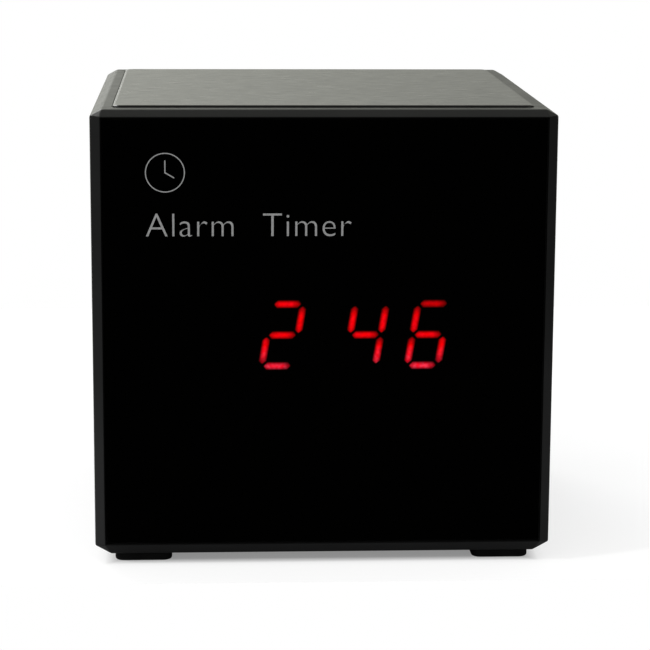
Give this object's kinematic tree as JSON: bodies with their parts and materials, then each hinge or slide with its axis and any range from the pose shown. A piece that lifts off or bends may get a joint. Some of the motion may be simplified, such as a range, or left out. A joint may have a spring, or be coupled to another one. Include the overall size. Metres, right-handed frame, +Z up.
{
  "type": "hidden camera clock radio",
  "caption": "Bevelled cube bedside clock with a camera hidden behind a smoked front panel, red digits, a press-down snooze plate on top and set controls at the back.",
  "frame": {"origin": "on the surface the clock stands on, under the middle of its case", "axes": "+Z up, the display faces -Y, +X to the viewer's right"},
  "size_m": [0.08, 0.08, 0.0803],
  "materials": {
    "case_plastic": "fine satin",
    "plate_plastic": "fine straight grain",
    "smoked_panel": "gloss smoked plate",
    "tape": "foam tape",
    "foot_rubber": "matt",
    "steel": "zinc plated",
    "board": "solder mask",
    "black_plastic": "moulded",
    "lit_red": "glowing",
    "dark_red": "unlit",
    "lens_glass": "coated",
    "ir_epoxy": "dark clear",
    "key_plastic": "moulded",
    "contact_metal": "nickel plated",
    "chip_black": "moulded",
    "cone_paper": "pressed",
    "pouch_foil": "satin foil",
    "connector_ivory": "moulded",
    "ribbon_film": "film"
  },
  "bodies": {
    "case": {"housing": "case_plastic", "front_panel": "smoked_panel", "panel_tape": "tape", "rear_cover": "case_plastic", "cover_screws": "steel", "feet": "foot_rubber", "snooze_springs": "steel", "snooze_switch": "black_plastic", "snooze_board": "board", "snooze_board_screws": "steel", "led_display": "black_plastic", "lit_segments": "lit_red", "dark_segments": "dark_red", "display_board": "board", "display_screws": "steel", "camera_board": "board", "camera_holder": "black_plastic", "camera_barrel": "black_plastic", "camera_lens": "lens_glass", "ir_leds": "ir_epoxy", "main_board": "board", "main_board_screws": "steel", "board_chips": "chip_black", "usb_socket": "contact_metal", "card_socket": "contact_metal", "switch_body": "contact_metal", "button_switches": "black_plastic", "reset_switch": "black_plastic", "speaker_frame": "black_plastic", "speaker_cone": "cone_paper", "speaker_magnet": "steel", "battery_tape": "tape", "battery_pouch": "pouch_foil", "ribbon_connectors": "connector_ivory", "display_ribbon": "ribbon_film", "wifi_antenna": "black_plastic"},
    "snooze": {"snooze_plate": "plate_plastic", "snooze_plunger": "black_plastic"},
    "set_key": {"set_button": "key_plastic", "set_plunger": "black_plastic"},
    "up_key": {"up_button": "key_plastic", "up_plunger": "black_plastic"},
    "down_key": {"down_button": "key_plastic", "down_plunger": "black_plastic"},
    "reset_key": {"reset_plunger": "key_plastic"},
    "power_knob": {"switch_knob": "key_plastic"}
  },
  "joints": [
    {"name": "snooze_press", "type": "slide", "parent": "case", "child": "snooze", "axis": [0, 0, -1], "range_m": [0, 0.0005], "stiffness_N_per_m": 3000, "springref_m": -0.0005, "deforming": ["snooze_springs"]},
    {"name": "set_press", "type": "slide", "parent": "case", "child": "set_key", "axis": [0, -1, 0], "range_m": [0, 0.0003], "stiffness_N_per_m": 4000, "springref_m": -0.0002},
    {"name": "up_press", "type": "slide", "parent": "case", "child": "up_key", "axis": [0, -1, 0], "range_m": [0, 0.0003], "stiffness_N_per_m": 4000, "springref_m": -0.0002},
    {"name": "down_press", "type": "slide", "parent": "case", "child": "down_key", "axis": [0, -1, 0], "range_m": [0, 0.0003], "stiffness_N_per_m": 4000, "springref_m": -0.0002},
    {"name": "reset_press", "type": "slide", "parent": "case", "child": "reset_key", "axis": [0, -1, 0], "range_m": [0, 0.0003], "stiffness_N_per_m": 4000, "springref_m": -0.0002},
    {"name": "power_slide", "type": "slide", "parent": "case", "child": "power_knob", "axis": [1, 0, 0], "range_m": [0, 0.002]}
  ]
}
